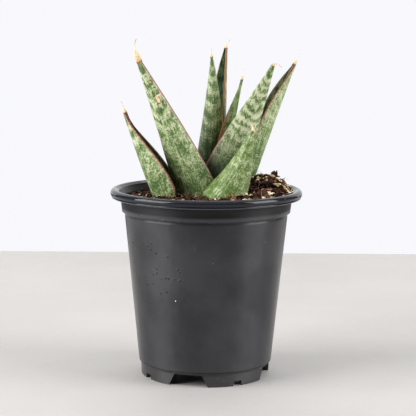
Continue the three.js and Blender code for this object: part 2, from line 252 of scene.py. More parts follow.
class Shader:
    """One material's node tree, with short calls for the nodes that the finishes use."""

    def __init__(self, name: str) -> None:
        """Starts a material with an empty tree and nothing set."""
        self.material = bpy.data.materials.new(name)
        self.material.use_nodes = True
        self.material.node_tree.nodes.clear()
        self.add = partial(add_node, self.material.node_tree)

    def finish(self, **inputs: Value) -> bpy.types.Material:
        """Wires up the Principled shader.

        Args:
            **inputs: What feeds its inputs, by name with _ for each space.

        Returns:
            The finished material.
        """
        surface = self.add("ShaderNodeBsdfPrincipled",
                           {name.replace("_", " "): value for name, value in inputs.items()})
        self.add("ShaderNodeOutputMaterial", {"Surface": surface.outputs["BSDF"]})
        return self.material

    def value(self, name: str) -> Socket:
        """Reads a float attribute of the piece."""
        return self.add("ShaderNodeAttribute", attribute_name=name).outputs["Fac"]

    def place(self) -> Socket:
        """Reads Object coordinates, in metres."""
        return self.add("ShaderNodeTexCoord").outputs["Object"]

    def split(self, vector: Socket) -> tuple[Socket, ...]:
        """Splits a vector into its three parts."""
        return tuple(self.add("ShaderNodeSeparateXYZ", {0: vector}).outputs)

    def join(self, x: Value, y: Value, z: Value) -> Socket:
        """Joins three numbers into a vector."""
        return self.add("ShaderNodeCombineXYZ", {0: x, 1: y, 2: z}).outputs[0]

    def maths(self, operation: str, a: Value, b: Value = 0.0) -> Socket:
        """Does one sum with the Math node's operation."""
        return self.add("ShaderNodeMath", {0: a, 1: b}, operation=operation).outputs[0]

    def times(self, *parts: Value) -> Socket:
        """Multiplies numbers."""
        return reduce(partial(self.maths, "MULTIPLY"), parts)

    def plus(self, *parts: Value) -> Socket:
        """Adds numbers."""
        return reduce(partial(self.maths, "ADD"), parts)

    def minus(self, a: Value, b: Value) -> Socket:
        """Takes b from a."""
        return self.maths("SUBTRACT", a, b)

    def clamp(self, value: Value) -> Socket:
        """Keeps a number from 0 to 1."""
        return self.add("ShaderNodeClamp", {"Value": value}).outputs[0]

    def length(self, a: Value, b: Value) -> Socket:
        """Finds the length of a flat vector."""
        return self.maths("SQRT", self.plus(self.times(a, a), self.times(b, b)))

    def swing(self, value: Value, amount: float) -> Socket:
        """Centres a noise on nothing and gives it an amount."""
        return self.times(self.minus(value, 0.5), amount)

    def ease(self, value: Socket, low: Number, high: Number, start: Number = 0.0,
             end: Number = 1.0) -> Socket:
        """Maps a value smoothly, from start at low to end at high."""
        inputs = {"Value": value, "From Min": low, "From Max": high, "To Min": start, "To Max": end}
        return self.add("ShaderNodeMapRange", inputs, interpolation_type="SMOOTHSTEP").outputs["Result"]

    def noise(self, vector: Socket, scale: Number, detail: Number = 2.0, rough: Number = 0.5) -> Socket:
        """Makes fractal noise from about 0.3 to 0.7, with scale features to a unit."""
        inputs = {"Vector": vector, "Scale": scale, "Detail": detail, "Roughness": rough}
        return self.add("ShaderNodeTexNoise", inputs).outputs["Fac"]

    def ramp(self, value: Socket, stops: list[tuple[float, Colour]]) -> Socket:
        """Turns a value into a colour.

        Args:
            value: The socket to colour.
            stops: Places from 0 to 1, each with its linear colour.

        Returns:
            The colour's socket.
        """
        node = self.add("ShaderNodeValToRGB", {"Fac": value})
        band = node.color_ramp
        while len(band.elements) < len(stops):
            band.elements.new(0.5)
        for element, (place, colour) in zip(band.elements, stops):
            element.position = place
            element.color = (*colour, 1.0)
        return node.outputs["Color"]

    def mix(self, share: Value, under: Socket | Colour, over: Socket | Colour) -> Socket:
        """Mixes two colours, by the share of the second."""
        a, b = ((*part, 1.0) if isinstance(part, tuple) else part for part in (under, over))
        return self.add("ShaderNodeMix", {0: share, 6: a, 7: b}, data_type="RGBA").outputs[2]

    def coat(self, colour: Socket, *coats: tuple[Value, Socket | Colour]) -> Socket:
        """Lays coats over a colour, each a share and a colour of its own."""
        return reduce(lambda under, over: self.mix(over[0], under, over[1]), coats, colour)

    def bump(self, height: Socket, depth_mm: Number, under: Socket | None = None) -> Socket:
        """Turns a height from 0 to 1 into a normal, laid over another if there is one."""
        inputs = {"Strength": 1.0, "Distance": depth_mm * MM, "Height": height}
        if under is not None:
            inputs["Normal"] = under
        return self.add("ShaderNodeBump", inputs).outputs["Normal"]


# ---------------------------------------------------------------- finishes


@dataclass(frozen=True)
class LeafSkin:
    """Waxy leaf skin: fine pale speckle gathered into sagging cross bands over green."""

    seed: float
    pale: float = 0.0
    band_mm: float = 8.0
    band: float = 0.16
    sag_mm: float = 3.0
    low_band: float = 0.15
    low_tone: float = 0.17
    # How much shade is painted on the leaf towards its foot.
    painted_low_shade: float = 0.0
    dark: Colour = (0.075, 0.140, 0.040)
    middle: Colour = (0.250, 0.335, 0.125)
    light: Colour = (0.600, 0.630, 0.430)
    # The channel's colour; for most leaves it is near black, which is painted shade.
    inside: Colour = (0.006, 0.012, 0.005)
    margin: Colour = (0.145, 0.042, 0.028)
    margin_pale: Colour = (0.520, 0.270, 0.190)
    straw: Colour = (0.720, 0.520, 0.290)
    hair: Colour = (0.740, 0.500, 0.380)

    def grain(self, s: Shader, along_mm: Socket, fine: tuple[float, float], seed: float = 1.0,
              detail: float = 2.0, rough: float = 0.5) -> Socket:
        """Reads noise that is stretched over the skin.

        Args:
            s: The material being made.
            along_mm: Millimetres up the leaf.
            fine: Features to a millimetre, across and along.
            seed: Sets this noise apart from the leaf's others.
            detail: How many finer layers there are.
            rough: How strong the finer layers are.

        Returns:
            The noise.
        """
        across = s.times(s.value(Skin.ACROSS_MM.value), fine[0])
        return s.noise(s.join(across, s.times(along_mm, fine[1]), self.seed * seed), 1.0, detail, rough)

    def tone(self, s: Shader, along_mm: Socket, speckle: Socket) -> Socket:
        """Works out how pale the skin is at each place.

        Args:
            s: The material being made.
            along_mm: Millimetres up the leaf.
            speckle: The fine speckle.

        Returns:
            The tone, from dark green at 0 to pale at 1.
        """
        rise = s.value(Skin.RISE.value)
        bow = s.maths("POWER", s.maths("ABSOLUTE", s.value(Skin.ACROSS.value)), 1.5)
        flow = s.minus(along_mm, s.times(bow, self.sag_mm))
        patch = self.grain(s, flow, (0.20, 0.24), 7.3, 2.0, 0.55)
        wander = self.grain(s, along_mm, (0.13, 0.07), 3.1)
        streak = self.grain(s, along_mm, (0.95, 0.085), 9.1)
        turn = s.times(s.plus(flow, s.swing(streak, 5.0)), math.tau / self.band_mm)
        wave = s.maths("SINE", s.plus(turn, s.times(wander, 9.0)))
        strength = s.ease(rise, 0.38, 0.62, self.band * self.low_band, self.band)
        return s.plus(0.5 + self.pale, s.swing(patch, 0.95), s.swing(speckle, 1.75),
                      s.swing(streak, 0.70), s.times(wave, strength),
                      s.ease(rise, 0.91, 0.99, 0.0, -0.40), s.ease(rise, 0.10, 0.60, -self.low_tone, 0.0))

    def build(self, name: str, gloss: float) -> bpy.types.Material:
        """Builds the material.

        Args:
            name: The material's name.
            gloss: The strength of its waxy reflection.

        Returns:
            The material.
        """
        s = Shader(name)
        along_mm, edge_mm, inner, awl, scar, spot, rise, rim = (s.value(key.value) for key in (
            Skin.ALONG_MM, Skin.EDGE_MM, Skin.INNER, Skin.AWL, Skin.SCAR, Skin.SPOT, Skin.RISE, Skin.RIM))
        speckle = self.grain(s, along_mm, (1.75, 0.95), 5.7, 3.0, 0.60)
        tone = self.tone(s, along_mm, speckle)
        between = tuple(0.5 * (a + b) for a, b in zip(self.middle, self.light))
        green = s.ramp(tone, [(0.20, self.dark), (0.44, self.middle), (0.60, between), (0.80, self.light)])
        # Painted shade: the channel is coloured near black for most leaves, where it lies in shade between
        # its margins; it follows the skin's tone a little.
        low, high = (tuple(share * part for part in self.inside) for share in (0.4, 2.6))
        hollow = s.mix(s.ease(tone, 0.30, 0.68), low, high)

        # Margins: a thin dark edge with a paler line inside it on the bead's crest, partly the margin's own
        # pale colour and partly a painted highlight, wider in the channel than outside.
        fray = s.swing(self.grain(s, along_mm, (0.0, 0.8)), 0.5)
        from_edge = s.minus(s.plus(edge_mm, fray), s.times(inner, 0.15))
        margin_pale_and_highlight = s.times(s.ease(from_edge, 0.10, 0.26), s.ease(speckle, 0.40, 0.56, 0.35, 1.0))
        mark = s.plus(scar, s.swing(speckle, 0.4))
        husk = self.grain(s, along_mm, (2.2, 0.5), 1.0, 3.0, 0.6)
        dry = s.ramp(s.plus(awl, s.swing(husk, 0.35)),
                     [(0.02, (0.30, 0.10, 0.05)), (0.09, self.straw), (0.50, (0.86, 0.72, 0.50)),
                      (0.97, self.hair)])
        is_dry = s.ease(awl, 0.004, 0.03)
        colour = s.coat(
            green,
            # Painted shade: the leaf is darkened towards its foot, where the leaves round it shade it.
            (s.ease(rise, 0.12, 0.62, self.painted_low_shade, 0.0), (0.012, 0.022, 0.010)),
            (s.times(inner, 0.97), hollow),
            (s.ease(edge_mm, 0.5, 1.1, 0.30, 0.0), (0.34, 0.38, 0.22)),
            (s.times(s.ease(from_edge, 0.36, 0.56, 1.0, 0.0), rim),
             s.mix(margin_pale_and_highlight, self.margin, self.margin_pale)),
            (s.ease(mark, 0.34, 0.44), (0.36, 0.16, 0.09)),
            (s.ease(mark, 0.46, 0.56), (0.84, 0.66, 0.42)),
            (s.ease(spot, 0.40, 0.75), (0.26, 0.07, 0.022)),
            (is_dry, dry))
        rough = s.plus(0.42, s.swing(speckle, 0.25), s.times(inner, 0.30), s.times(is_dry, 0.3))
        ridge = self.grain(s, along_mm, (1.4, 0.05))
        pores = self.grain(s, along_mm, (3.2, 2.4), 1.0, 2.0, 0.6)
        relief = s.bump(pores, 0.08, s.bump(ridge, 0.30))
        return s.finish(Base_Color=colour, Roughness=s.clamp(rough), Specular_IOR_Level=gloss,
                        Normal=s.bump(s.times(husk, is_dry), 0.25, relief))


@dataclass(frozen=True)
class PotPlastic:
    """Satin black moulded plastic: a little dusty and scuffed, glossier on its rolled rim."""

    deep: Colour = (0.0225, 0.0220, 0.0252)
    dusty: Colour = (0.0390, 0.0382, 0.0425)
    rim_low_mm: float = 100.6
    foot_step_mm: float = 8.3
    around_mm: float = 45.0
    # Where the painted glint of one water drop sits: millimetres round the wall and up it.
    drop_glint_mm: tuple[float, float] = (-17.9, 48.8)

    def flecks(self, s: Shader, wall: Socket, scale: float, size: float, share: float) -> Socket:
        """Scatters round flecks of dust over the wall.

        Args:
            s: The material being made.
            wall: The unrolled wall, in millimetres.
            scale: How many places there are to a millimetre.
            size: A fleck's radius, as a share of the spacing.
            share: The share of places that carry a fleck.

        Returns:
            The flecks, 1 where there is one.
        """
        cells = s.add("ShaderNodeTexVoronoi", {"Vector": wall, "Scale": scale})
        chance = s.ease(s.split(cells.outputs["Color"])[0], 1.0 - share, 1.02 - share)
        return s.times(s.ease(cells.outputs["Distance"], 0.4 * size, size, 1.0, 0.0), chance)

    def build(self, name: str) -> bpy.types.Material:
        """Builds the material.

        Args:
            name: The material's name.

        Returns:
            The material.
        """
        s = Shader(name)
        place = s.place()
        x, y, z = s.split(place)
        turn_mm = s.times(s.maths("ARCTAN2", x, s.times(y, -1.0)), self.around_mm)
        z_mm = s.times(z, 1000.0)
        wall = s.join(turn_mm, z_mm, 0.0)
        cloudy = s.noise(place, 30.0, 3.0, 0.6)
        foot_dust = s.ease(s.plus(z_mm, s.times(cloudy, 14.0)), 10.0, 24.0, 0.12, 0.0)
        fleck = self.flecks(s, wall, 0.22, 0.11, 0.18)
        # Painted highlight: a pale line along the lower bead of the rolled rim.
        lip = s.times(s.ease(z_mm, 99.6, 100.1), s.ease(z_mm, 100.9, 101.4, 1.0, 0.0))
        # Painted shade: a dark line along the step where the body meets the foot ring.
        step = s.maths("ABSOLUTE", s.minus(z_mm, self.foot_step_mm))
        scuff = s.noise(s.join(s.times(turn_mm, 0.9), s.times(z_mm, 0.12), 9.0), 1.0, 3.0, 0.7)
        patch = s.noise(place, 55.0, 1.0, 0.5)
        # Water drops left of the front, and soil splashed up on the right.
        wetted = s.times(s.ease(turn_mm, -62.0, -52.0), s.ease(turn_mm, -18.0, -8.0, 1.0, 0.0),
                         s.ease(z_mm, 42.0, 50.0), s.ease(z_mm, 76.0, 86.0, 1.0, 0.0))
        drops = s.times(self.flecks(s, wall, 0.34, 0.28, 0.48), wetted)
        soiled = s.times(self.flecks(s, wall, 0.36, 0.27, 0.42), s.ease(turn_mm, 28.0, 44.0),
                         s.ease(turn_mm, 74.0, 82.0, 1.0, 0.0), s.ease(z_mm, 66.0, 76.0))
        # Painted highlight: a white glint of one water drop, inside a dark painted ring for the drop's
        # body.
        drop_glint = s.length(s.minus(turn_mm, self.drop_glint_mm[0]), s.minus(z_mm, self.drop_glint_mm[1]))
        radius = s.length(x, y)
        # Painted shade: the wall is coloured near black from 46.5 to 49.4 mm off the axis above about 95
        # mm, which takes in the inner wall under the mouth, and it is made rougher there.
        lining = s.times(s.ease(radius, 0.0488, 0.0494, 1.0, 0.0), s.ease(z_mm, 94.0, 96.0),
                         s.ease(radius, 0.0465, 0.0470))
        colour = s.coat(
            s.mix(s.ease(cloudy, 0.36, 0.68), self.deep, self.dusty),
            (foot_dust, (0.14, 0.13, 0.12)),
            (s.times(fleck, 0.5), (0.22, 0.17, 0.14)),
            (s.times(self.flecks(s, wall, 0.8, 0.15, 0.10), 0.4), (0.26, 0.25, 0.24)),
            # Painted light: the collar under the rim is lightened, most just below the rim, for the
            # reflections it catches.
            (s.ease(z_mm, 92.4, 94.0, 0.0, 0.30), (0.075, 0.077, 0.085)),
            (s.ease(z_mm, 95.0, 99.0, 0.0, 0.75), (0.110, 0.112, 0.124)),
            (s.ease(z_mm, self.rim_low_mm - 0.6, self.rim_low_mm + 0.2), (0.014, 0.0155, 0.021)),
            (s.times(lip, 0.8), (0.150, 0.155, 0.175)),
            (s.ease(step, 0.15, 0.45, 0.85, 0.0), (0.003, 0.003, 0.0035)),
            (s.times(s.ease(scuff, 0.64, 0.72), s.ease(patch, 0.54, 0.62), 0.5), (0.09, 0.09, 0.095)),
            (s.times(drops, 0.7), (0.006, 0.006, 0.007)),
            (s.times(soiled, 0.9), (0.13, 0.045, 0.028)),
            (s.ease(drop_glint, 0.9, 1.3, 0.85, 0.0), (0.006, 0.006, 0.007)),
            (s.ease(drop_glint, 0.25, 0.5, 1.0, 0.0), (0.74, 0.74, 0.74)),
            (s.times(lining, 0.85), (0.002, 0.002, 0.0025)))
        rim = s.ease(z_mm, self.rim_low_mm - 0.4, self.rim_low_mm + 0.6)
        rough = s.plus(0.33, s.swing(cloudy, 0.22), s.times(rim, -0.20),
                       s.times(s.ease(z_mm, 91.0, 92.0), -0.04), s.times(drops, -0.18),
                       s.times(lining, 0.35), s.times(foot_dust, 0.8))
        swell = s.noise(s.join(s.times(turn_mm, 0.05), s.times(z_mm, 0.02), 1.0), 1.0, 2.0, 0.5)
        relief = s.bump(s.noise(place, 900.0, 2.0, 0.6), 0.02, s.bump(swell, 0.5))
        return s.finish(Base_Color=colour, Roughness=s.clamp(rough), Specular_IOR_Level=0.31,
                        Anisotropic=0.8, Anisotropic_Rotation=0.25,
                        Normal=s.bump(s.plus(fleck, s.times(drops, 2.0)), 0.12, relief))


@dataclass(frozen=True)
class Earth:
    """Damp peat, bark or perlite: a rough, grainy solid whose pieces differ in tone."""

    dark: Colour
    middle: Colour
    light: Colour
    grain: float = 900.0
    relief_mm: float = 0.25
    rough: float = 0.85
    varied: bool = True
    stain: Colour | None = None

    def build(self, name: str) -> bpy.types.Material:
        """Builds the material.

        Args:
            name: The material's name.

        Returns:
            The material.
        """
        s = Shader(name)
        place = s.place()
        tone = fine = s.noise(place, self.grain, 4.0, 0.65)
        if self.varied:
            tone = s.plus(s.times(fine, 0.55), s.times(s.value("tone"), 0.55))
        colour = s.ramp(tone, [(0.30, self.dark), (0.56, self.middle), (0.84, self.light)])
        if self.stain is not None:
            patch = s.noise(place, self.grain * 0.35, 2.0, 0.5)
            colour = s.mix(s.ease(patch, 0.46, 0.62), colour, self.stain)
        return s.finish(Base_Color=colour, Roughness=self.rough, Specular_IOR_Level=0.12,
                        Normal=s.bump(fine, self.relief_mm))


PEAT = Earth((0.004, 0.0016, 0.0010), (0.026, 0.0095, 0.0055), (0.130, 0.050, 0.028))
BARK = Earth((0.007, 0.003, 0.002), (0.050, 0.022, 0.014), (0.230, 0.105, 0.062), grain=700.0)
PERLITE = Earth((0.44, 0.38, 0.20), (0.74, 0.68, 0.46), (0.90, 0.87, 0.74), grain=1100.0,
                relief_mm=0.3, rough=0.9, stain=(0.52, 0.42, 0.14))
FIBRE = Earth((0.12, 0.07, 0.04), (0.40, 0.30, 0.20), (0.66, 0.56, 0.42), grain=600.0, relief_mm=0.1)
STEM = Earth((0.16, 0.07, 0.03), (0.42, 0.20, 0.08), (0.60, 0.36, 0.18), grain=260.0, varied=False)


# ---------------------------------------------------------------- nursery pot


@dataclass
class NurseryPot:
    """The round black pot: rolled rim, collar, tapered body, and a foot ring with notches."""

    rim_radius: float = 54.0
    height: float = 105.6
    wall: float = 1.2
    mouth_radius: float = 48.9
    collar_top: tuple[float, float] = (48.3, 101.0)
    collar_foot: tuple[float, float] = (47.5, 93.5)
    body_top: tuple[float, float] = (45.9, 91.5)
    body_foot: tuple[float, float] = (37.7, 8.2)
    foot_radius: float = 36.6
    floor_under: float = 8.0
    drain_turn: float = -15.0
    drain_half: tuple[float, float] = (7.8, 11.2)
    drain_height: float = 6.8
    vent_turn: float = 30.0
    vent_half: tuple[float, float] = (2.2, 2.8)
    vent_height: float = 2.8
    hole_radius: float = 4.5
    hole_circle: float = 24.0
    segments: int = 240

    def profile(self) -> list[tuple[float, float]]:
        """Lists the section's corners.

        Returns:
            Radius and height pairs, from the middle of the floor's underside, up the outside, over
            the rim and down the inside.
        """
        foot, wall, under = self.foot_radius, self.wall, self.floor_under
        (toe, toe_z), (waist, waist_z) = self.body_foot, self.body_top
        (neck, neck_z), (collar, lip) = self.collar_foot, self.collar_top
        rim, mouth, top = self.rim_radius, self.mouth_radius, self.height
        floor_top = under + wall
        arc = []
        for step in range(15):
            angle = math.radians(-38 + step * 158 / 14)
            arc.append((rim - 2.25 + 2.25 * math.cos(angle), top - 2.15 + 2.15 * math.sin(angle)))
        bead = []
        for step in range(9):
            angle = math.radians(-80 + step * 150 / 8)
            bead.append((rim - 1.25 + 0.62 * math.cos(angle), lip + 0.42 + 0.62 * math.sin(angle)))
        return [
            (0.0, under), (foot - wall - 0.8, under), (foot - wall - 0.3, under - 0.5),
            (foot - wall - 0.4, 0.3), (foot - wall - 0.1, 0.0), (foot - 0.5, 0.0), (foot - 0.2, 0.3),
            (foot, toe_z - 1.2), (foot + 0.25, toe_z - 0.75), (toe - 0.15, toe_z - 0.45),
            (toe, toe_z), (waist, waist_z - 0.4), (waist - 0.25, waist_z + 0.3),
            (waist - 0.15, waist_z + 1.0), (neck - 0.5, waist_z + 1.2), (neck - 0.1, neck_z - 0.5),
            (neck, neck_z), (collar, lip - 0.6), (collar + 0.4, lip - 0.2),
            (rim - 1.7, lip - 0.2), *bead, (rim - 1.05, lip + 1.25), *arc,
            (mouth + 1.2, top - 0.75), (mouth + 0.3, top - 1.2), (mouth, top - 1.9),
            (collar - wall, lip), (neck - wall, neck_z), (waist - wall, waist_z),
            (toe - wall + 0.3, floor_top + 1.0), (toe - wall - 0.8, floor_top), (0.0, floor_top),
        ]

    def shell(self) -> bpy.types.Object:
        """Turns the section about the pot's axis, with extra steps up the tall walls.

        Returns:
            The whole shell before its openings are cut.
        """
        corners = self.profile()
        dense = [corners[0]]
        for start, end in zip(corners, corners[1:]):
            length = math.dist(start, end)
            near = 0.25 / length if length > 1.5 else 0.0
            steps = max(1, int(length / 6.0))
            shares = {near, *(step / steps for step in range(1, steps)), 1.0 - near, 1.0} - {0.0}
            for share in sorted(shares):
                dense.append(tuple(a + (b - a) * share for a, b in zip(start, end)))
        rings = [circle(radius, z, self.segments) for radius, z in dense[1:-1]]
        start = np.array([0, 0, dense[0][1]])
        end = np.array([0, 0, dense[-1][1]])
        points, faces = skin_rings(rings, start, end)
        return make_mesh("nursery_pot_shell", points, faces)

    def notch(self, turn: float, half: tuple[float, float], height: float) -> bpy.types.Object:
        """Makes a block with sloping sides that cuts one notch through the foot ring.

        Args:
            turn: Degrees from the front towards +X.
            half: Half widths at the notch's top and at the floor.
            height: The notch's height.

        Returns:
            The cutting block.
        """
        slope = (half[1] - half[0]) / height
        near, far = -self.foot_radius - 4.0, -self.foot_radius + 8.0
        section = [(-half[1] - slope, -1.0), (half[1] + slope, -1.0), (half[0], height), (-half[0], height)]
        points = [(x, near, z) for x, z in section] + [(x, far, z) for x, z in section]
        faces = [(0, 1, 2, 3), (7, 6, 5, 4), (0, 4, 5, 1), (1, 5, 6, 2), (2, 6, 7, 3), (3, 7, 4, 0)]
        return self.turned(make_mesh("notch", np.array(points), faces, smooth=False), turn)

    def drain_hole(self, turn: float) -> bpy.types.Object:
        """Makes a round plug that cuts one drain hole through the floor."""
        low = np.array([0, -self.hole_circle, self.floor_under - 2.0])
        high = np.array([0, -self.hole_circle, self.floor_under + self.wall + 2.0])
        ring = circle(self.hole_radius, 0.0, 32)
        points, faces = skin_rings([ring + low, ring + high], low, high)
        return self.turned(make_mesh("drain_plug", points, faces, smooth=False), turn)

    @staticmethod
    def turned(piece: bpy.types.Object, turn: float) -> bpy.types.Object:
        """Turns a cutter's mesh about the pot's axis."""
        piece.data.transform(Matrix.Rotation(math.radians(turn), 4, "Z"))
        return piece

    def build(self) -> bpy.types.Object:
        """Builds the pot with its notches and drain holes.

        Returns:
            The finished pot.
        """
        pot = self.shell()
        cutters = []
        for quarter in range(4):
            turn = quarter * 90.0
            cutters.append(self.notch(self.drain_turn + turn, self.drain_half, self.drain_height))
            cutters.append(self.notch(self.vent_turn + turn, self.vent_half, self.vent_height))
            cutters.append(self.drain_hole(self.drain_turn + turn))
        for cutter in cutters:
            cut = pot.modifiers.new("cut", "BOOLEAN")
            cut.operation = "DIFFERENCE"
            cut.solver = "EXACT"
            cut.object = cutter
        plain_copy(pot)
        for cutter in cutters:
            bpy.data.objects.remove(cutter)
        pot.name = "pot"
        pot.data.set_sharp_from_angle(angle=math.radians(35))
        pot.data.materials.append(PotPlastic().build("pot_plastic"))
        return finish_piece(pot, Slot.POT, "nursery_pot")


# ---------------------------------------------------------------- leaves


@dataclass(frozen=True)
class Mark:
    """A scar or spot on a leaf's outer face."""

    layer: Skin
    across: float
    along: float
    half_across: float
    half_along: float


@dataclass
class Leaf:
    """One stiff channelled leaf with a thin margin and a dry awl at its tip."""

    name: str
    base: Triple
    bend: Triple
    tip: Triple
    awl: Triple
    width: float
    fullness: float
    channel: float
    facing: float
    twist: float
    thickness: float
    point: float
    neck: float
    hook: float
    skin: LeafSkin
    rims: tuple[float, float] = (1.0, 1.0)
    rims_end: float = 2.0
    awl_body: float = 0.5
    marks: tuple[Mark, ...] = ()
    blade_steps: int = 110
    awl_steps: int = 22
    across_steps: int = 44
    foot_drop: float = 16.0

    def __post_init__(self) -> None:
        """Works out the leaf's places and its awl's end."""
        self.base_at = Vector(self.base)
        self.bend_at = Vector(self.bend)
        self.tip_at = Vector(self.tip)
        self.end_at = self.tip_at + Vector(self.awl)

    @staticmethod
    def curve(start: Vector, control: Vector, end: Vector, t: float) -> tuple[Vector, Vector]:
        """Finds a point and direction on a quadratic curve.

        Args:
            start: Where the curve starts.
            control: The point that it bends towards.
            end: Where it ends.
            t: The share of the way, from 0 to 1.

        Returns:
            The point and the unit direction.
        """
        point = start * (1 - t) ** 2 + control * (2 * t * (1 - t)) + end * t ** 2
        direction = (control - start) * (2 * (1 - t)) + (end - control) * (2 * t)
        return point, direction.normalized()

    def blade(self, t: float) -> dict[str, float | Vector]:
        """Works out the section at one place up the blade.

        Args:
            t: The share of the way up, from 0 to 1.

        Returns:
            The section's place, direction, facing, half width, fold and thickness.
        """
        point, tangent = self.curve(self.base_at, self.bend_at, self.tip_at, t)
        taper = (1 - t ** self.fullness) * (1 - self.neck * (1 - t) ** 6)
        half = self.width / 2 * taper + self.point
        thickness = self.thickness + (2 * self.point - self.thickness) * t ** 1.3
        return {"point": point, "tangent": tangent, "facing": math.radians(self.facing + self.twist * t),
                "half": half, "fold": 2 * self.channel * half * (1 - t ** 4), "thickness": thickness,
                "rise": t, "awl": 0.0}

    def stations(self) -> list[dict[str, float | Vector]]:
        """Lists the sections from the buried foot to the awl's end."""
        root = self.blade(0.0)
        seat = self.base_at - Vector((self.base[0] * 0.12, self.base[1] * 0.12, self.foot_drop))
        found = []
        for rise, share in ((0.0, 0.35), (0.3, 0.55), (0.6, 0.8), (0.85, 0.97)):
            found.append({**root, "point": seat.lerp(self.base_at, rise), "half": root["half"] * share,
                          "fold": root["fold"] * share ** 1.7})
        found += [self.blade(step / self.blade_steps) for step in range(self.blade_steps + 1)]
        top = self.blade(1.0)
        reach = (self.end_at - self.tip_at).length
        control = self.tip_at + top["tangent"] * (reach * self.hook)
        for step in range(1, self.awl_steps):
            share = step / self.awl_steps
            point, tangent = self.curve(self.tip_at, control, self.end_at, share)
            shrink = noise.noise(Vector((share * 6.0, self.skin.seed, 0.0)))
            body = self.point * (1 - float(smoothstep(0.0, self.awl_body, share)) ** 1.4)
            size = (body + 0.34 * (1 - 0.55 * share)) * (1 + 0.22 * shrink)
            found.append({**top, "point": point, "tangent": tangent, "half": size, "fold": 0.0,
                          "thickness": 1.5 * size, "awl": share})
        return found

    def section(self, place: dict[str, float | Vector], along: float
                ) -> tuple[np.ndarray, dict[Skin, np.ndarray]]:
        """Makes one ring of points round the leaf, with its finish values.

        Args:
            place: The section from stations().
            along: How far up the leaf it is, in millimetres.

        Returns:
            The ring and its attribute values.
        """
        tangent = place["tangent"]
        facing = place["facing"]
        inward = Vector((math.cos(facing), math.sin(facing), 0.0))
        inward = (inward - tangent * inward.dot(tangent)).normalized()
        side = tangent.cross(inward)
        half, fold, thick = place["half"], place["fold"], place["thickness"]
        steps = np.linspace(-1.0, 1.0, self.across_steps + 1)
        steps = np.sign(steps) * (1 - (1 - np.abs(steps)) ** 1.35)
        outer = [(s, -1.0) for s in steps]
        inner = [(s, 1.0) for s in steps[1:-1][::-1]]
        ring, values = [], {key: [] for key in Skin}
        for across, face in [*outer, *inner][::-1]:
            size = abs(across)
            body = thick / 2 * (1 - size ** 2.4) ** 0.6
            rim_mm = 0.30
            from_edge = half * (1 - size)
            if from_edge < 2 * rim_mm and place["awl"] == 0.0:
                bead = rim_mm * math.sqrt(max(0.0, 1 - ((from_edge - rim_mm) / rim_mm) ** 2))
                body = max(body, bead)
            across_mm = across * half
            rough = noise.noise(Vector((across_mm * 0.55, along * 0.12, self.skin.seed + face)))
            furrow = math.cos(across_mm * math.tau / 2.6 + rough * 2.0)
            relief = (0.16 * rough + 0.045 * furrow) * (1 - size ** 4)
            if place["awl"] > 0.0:
                relief = 0.14 * half * noise.noise(Vector((across * 2.0, along * 0.9, self.skin.seed)))
            wave = 0.28 * noise.noise(Vector((along * 0.09, self.skin.seed, math.copysign(5.0, across))))
            reach = across_mm + (wave * across * (1 - place["rise"]) if size > 0.5 else 0.0)
            offset = fold * size ** 1.7 + face * (body + relief)
            ring.append(place["point"] + side * reach + inward * offset)
            strength = self.rims[0] if across > 0 else self.rims[1]
            fade = float(smoothstep(self.rims_end, self.rims_end - 0.12, place["rise"]))
            found = {
                Skin.ACROSS: across,
                Skin.ACROSS_MM: across_mm,
                Skin.ALONG_MM: along,
                Skin.EDGE_MM: from_edge * max(1.0, 2.2 / half) + (9.0 if place["awl"] > 0 else 0.0),
                Skin.RISE: place["rise"],
                Skin.AWL: place["awl"],
                Skin.INNER: max(0.0, face) * float(smoothstep(1.0, 0.97, size)),
                Skin.RIM: strength * fade,
                Skin.SCAR: self.mark_at(Skin.SCAR, across, place["rise"], face),
                Skin.SPOT: self.mark_at(Skin.SPOT, across, place["rise"], face),
            }
            for key, number in found.items():
                values[key].append(number)
        return np.array(ring), {key: np.array(found) for key, found in values.items()}

    def mark_at(self, layer: Skin, across: float, rise: float, face: float) -> float:
        """Finds how strongly a mark shows at a place.

        Args:
            layer: Which kind of mark is asked for.
            across: The place from margin to margin, -1 to 1.
            rise: The place up the blade, 0 to 1.
            face: -1 on the outer face and 1 in the channel.

        Returns:
            The strength, from 0 to 1.
        """
        if face > 0:
            return 0.0
        best = 0.0
        for mark in self.marks:
            if mark.layer is layer:
                off = math.hypot((across - mark.across) / mark.half_across,
                                 (rise - mark.along) / mark.half_along)
                best = max(best, 1.0 - off * 0.5)
        return max(0.0, best)

    def build(self) -> bpy.types.Object:
        """Builds the leaf.

        Returns:
            The finished leaf.
        """
        rings, layers = [], {key: [] for key in Skin}
        along = -self.foot_drop
        before = None
        places = self.stations()
        for place in places:
            if before is not None:
                along += (place["point"] - before).length
            before = place["point"]
            ring, values = self.section(place, along)
            rings.append(ring)
            for key, found in values.items():
                layers[key].append(found)
        foot = np.array(places[0]["point"]) - [0, 0, 0.5]
        points, faces = skin_rings(rings, foot, np.array(self.end_at))
        leaf = make_mesh(self.name + "_blade", points, faces)
        for key, found in layers.items():
            flat = np.concatenate(found)
            store(leaf, key.value, np.concatenate([flat[:1], flat, flat[-1:]]))
        leaf.data.materials.append(self.skin.build(self.name + "_skin", 0.36))
        leaf.data.materials.append(self.skin.build(self.name + "_channel", 0.04))
        inner = np.concatenate([[0.0], np.concatenate(layers[Skin.INNER]), [0.0]])
        for face in leaf.data.polygons:
            face.material_index = int(inner[list(face.vertices)].mean() > 0.7)
        return finish_piece(leaf, Slot.LEAF, self.name)


TAN = (0.42, 0.20, 0.085)
